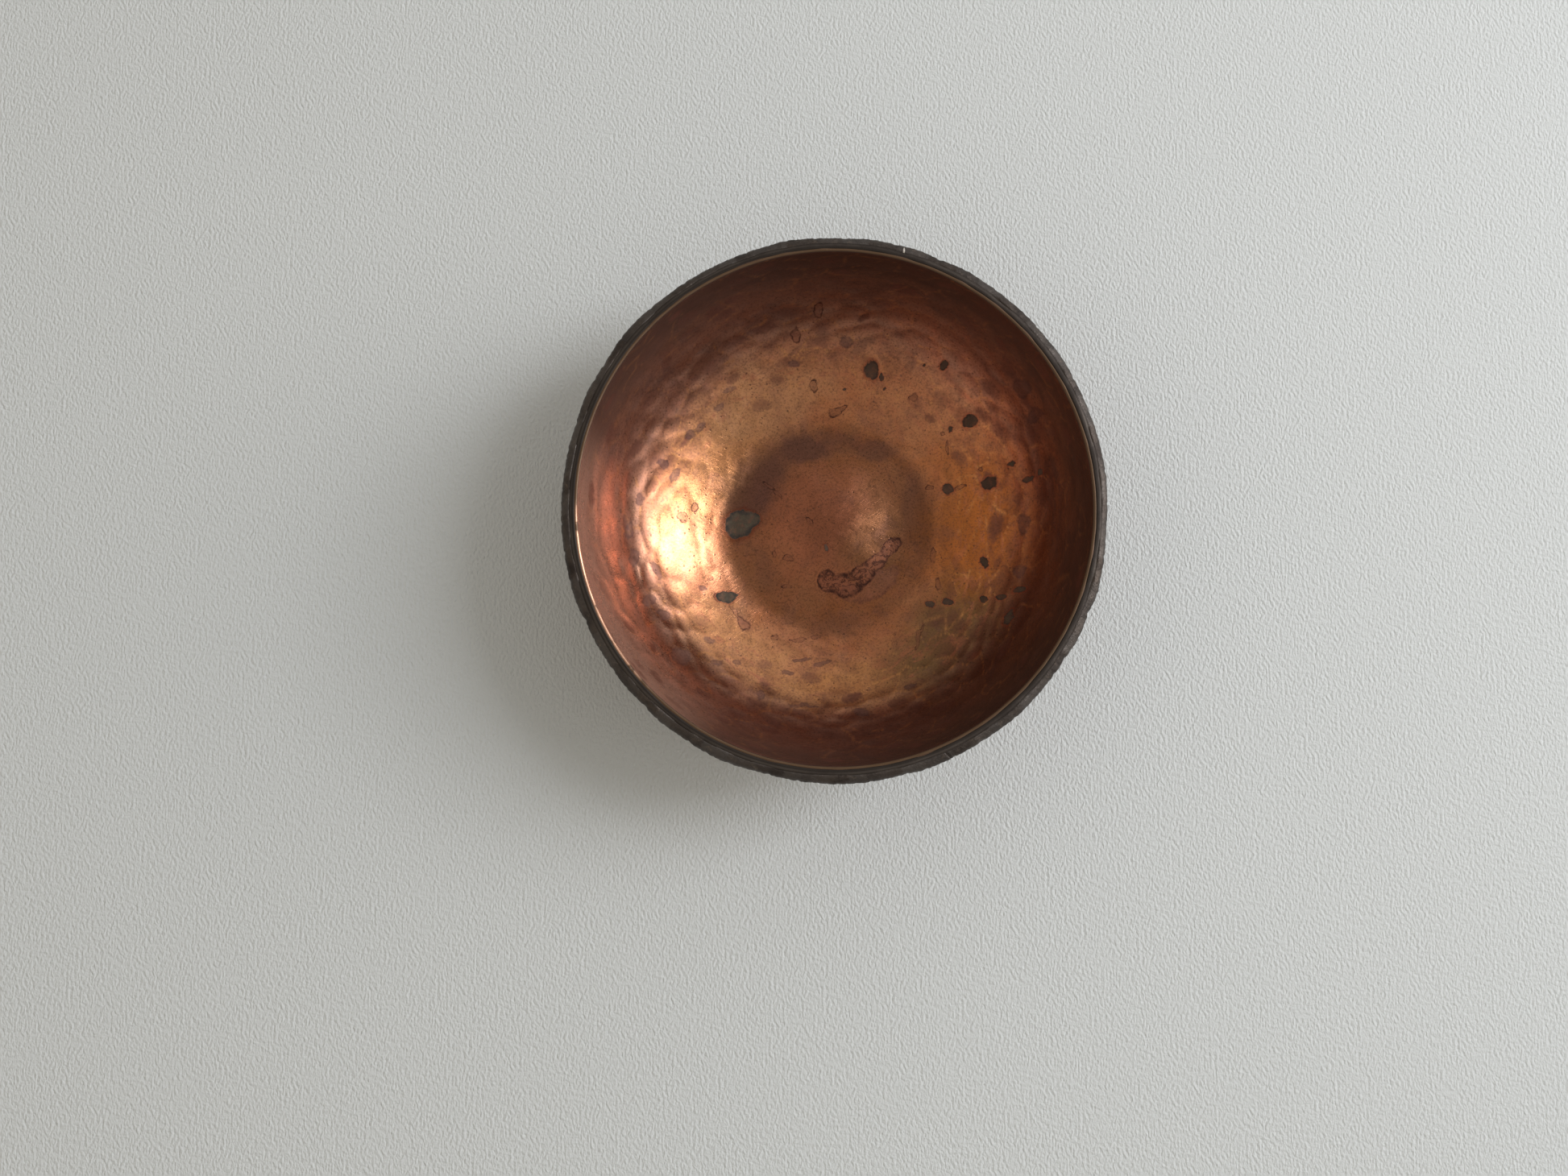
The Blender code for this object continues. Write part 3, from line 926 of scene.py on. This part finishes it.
def make_dark_copper():
    material, tree, shader = new_material("dark_copper")
    position = add(tree, "TexCoord").outputs["Object"]
    patches = patchy(tree, position, 150.0, 0.40, 0.62)
    rubbed = patchy(tree, position, 420.0, 0.56, 0.68)
    colour = layer(tree, FIRE_SKIN, FIRE_BLACK, patches)
    colour = layer(tree, colour, BLOW_GREY, product(tree, label(tree, "blow"), 0.6))
    colour = layer(tree, colour, RUBBED_BROWN, product(tree, rubbed, 0.35))
    # The nick's painted glint and the pit's painted shade.
    for spot, spot_colour in ((BRIGHT_NICK, NICK_METAL_AND_GLINT), (DARK_PIT, PIT_PAINTED_SHADE)):
        cover = step(tree, nearest_stain(tree, position, (spot,)), 1.2, 0.7)
        colour = layer(tree, colour, spot_colour, cover)
    rough = calc(tree, "MULTIPLY_ADD", patches, 0.12, 0.44)
    rough = calc(tree, "MULTIPLY_ADD", rubbed, -0.08, rough)

    scratch = place_group(tree, scratch_group, {"Position": position, "Fineness": 300.0})["Mask"]
    dents = add(tree, "TexVoronoi", {"Vector": position, "Scale": 420.0}, feature="SMOOTH_F1")
    relief = product(tree, cloud(tree, position, 1500.0, 3.0, 0.65), 0.5)
    relief = calc(tree, "MULTIPLY_ADD", dents.outputs["Distance"], 0.8, relief)
    relief = calc(tree, "MULTIPLY_ADD", scratch, -0.1, relief)
    bump = add(tree, "Bump", {"Height": relief, "Strength": 0.8, "Distance": 0.0004})
    tree.links.new(colour, shader.inputs["Base Color"])
    tree.links.new(rough, shader.inputs["Roughness"])
    tree.links.new(bump.outputs[0], shader.inputs["Normal"])
    shader.inputs["Metallic"].default_value = 0.75
    return material


band.data.materials.append(make_dark_copper())
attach(band, "root")
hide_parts("rim_band")

# ------------------------------------------------------------------------------------------
# Band joint. The solder that fills the slanted butt between the band's two ends, a little
# lower than the band, browned like the rest.

JOINT_SUNK = 0.00012
joint = turn_outline("band_joint_fill", band_outline(), (), 4, joint_turn, closed=True, sectors=2)
radius, z, turn = unroll(joint, JOINT_ANGLE - joint_turn / 2)
radius, z, _ = hammer_band(radius, z, turn)
radius = np.where(radius > BAND_INNER + 0.0005, radius - JOINT_SUNK, radius)
z = BAND_MIDDLE + (z - BAND_MIDDLE) * 0.95
set_round(joint, radius, z, turn)
joint.data.materials.append(brazing_brass)
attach(joint, "root")
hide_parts("band_joint_solder")

# ------------------------------------------------------------------------------------------
# Setting. A pale painted surface under the bowl, a soft window to the right, a dim room
# round it, and a camera that looks down into the bowl.

floor_shape = bmesh.new()
bmesh.ops.create_grid(floor_shape, x_segments=1, y_segments=1, size=4.0)
floor_mesh = bpy.data.meshes.new("pale_floor")
floor_shape.to_mesh(floor_mesh)
floor_shape.free()
floor = bpy.data.objects.new("pale_floor", floor_mesh)
bpy.context.scene.collection.objects.link(floor)


def make_pale_paint():
    """Rolled paint: a fine stipple, a little longer along Y than along X."""
    material, tree, shader = new_material("pale_paint")
    position = add(tree, "TexCoord").outputs["Object"]
    drawn = add(tree, "VectorMath", {0: position, 1: (1.25, 0.75, 1.0)}, operation="MULTIPLY")
    stipple = cloud(tree, drawn.outputs[0], 980.0, 2.0, 0.5)
    bump = add(tree, "Bump", {"Height": stipple, "Strength": 0.9, "Distance": 0.0006})
    tree.links.new(bump.outputs[0], shader.inputs["Normal"])
    shader.inputs["Base Color"].default_value = (0.60, 0.61, 0.605, 1)
    shader.inputs["Roughness"].default_value = 0.8
    return material


floor_mesh.materials.append(make_pale_paint())


def add_window(direction, distance, width, height, watts, colour):
    lamp = bpy.data.lights.new("window", "AREA")
    lamp.shape = "RECTANGLE"
    lamp.size = width
    lamp.size_y = height
    lamp.energy = watts
    lamp.color = colour
    light = bpy.data.objects.new("window", lamp)
    aim = Vector(direction).normalized()
    light.location = aim * distance
    light.rotation_euler = aim.to_track_quat("Z", "Y").to_euler()
    bpy.context.scene.collection.objects.link(light)


add_window(
    direction=(0.73, 0.21, 0.65), distance=1.2, width=0.42, height=0.60,
    watts=8.2, colour=(0.91, 0.95, 1.0),
)

WARM_WALL = (0.47, 0.45, 0.40, 1)
LIT_WALL = (0.72, 0.66, 0.56, 1)
COOL_WALL = (0.84, 0.86, 0.87, 1)
BRIGHT_OPENING = (4.5, 4.4, 4.2, 1)
SHADED_CEILING = (0.16, 0.15, 0.14, 1)


def make_room():
    """Soft walls for the copper to mirror: lit on the left, cool on the right, with a bright
    opening beside the window, darker low down and under the ceiling."""
    world = bpy.data.worlds.new("room")
    world.use_nodes = True
    tree = world.node_tree
    heading = add(tree, "TexCoord").outputs["Generated"]
    parts = add(tree, "SeparateXYZ", {0: heading}).outputs
    room = layer(tree, WARM_WALL, LIT_WALL, step(tree, parts["X"], -0.35, -0.75))
    room = layer(tree, room, COOL_WALL, facing(tree, heading, (0.87, 0.50, 0.0), 0.22, 0.75))
    low = step(tree, parts["Z"], 0.04, 0.50, 0.62, 1.0)
    room = add(tree, "VectorMath", {0: room, "Scale": low}, operation="SCALE").outputs[0]
    opening = facing(tree, heading, (0.965, 0.14, 0.22), 0.91, 0.99)
    room = layer(tree, room, BRIGHT_OPENING, opening)
    overhead = facing(tree, heading, (0.09, 0.16, 0.983), 0.84, 0.95)
    room = layer(tree, room, SHADED_CEILING, product(tree, overhead, 0.66))
    background = tree.nodes["Background"]
    tree.links.new(room, background.inputs["Color"])
    background.inputs["Strength"].default_value = 1.0
    return world


bpy.context.scene.world = make_room()

lens = bpy.data.cameras.new("camera")
lens.lens = 25.9
lens.sensor_width = 36.0
lens.clip_start = 0.01
camera = bpy.data.objects.new("camera", lens)
camera.location = (-0.0137, -0.0515, 0.344)
camera.rotation_euler = (math.radians(5.5), 0.0, 0.0)
bpy.context.scene.collection.objects.link(camera)
bpy.context.scene.camera = camera
bpy.context.scene.view_settings.view_transform = "Standard"
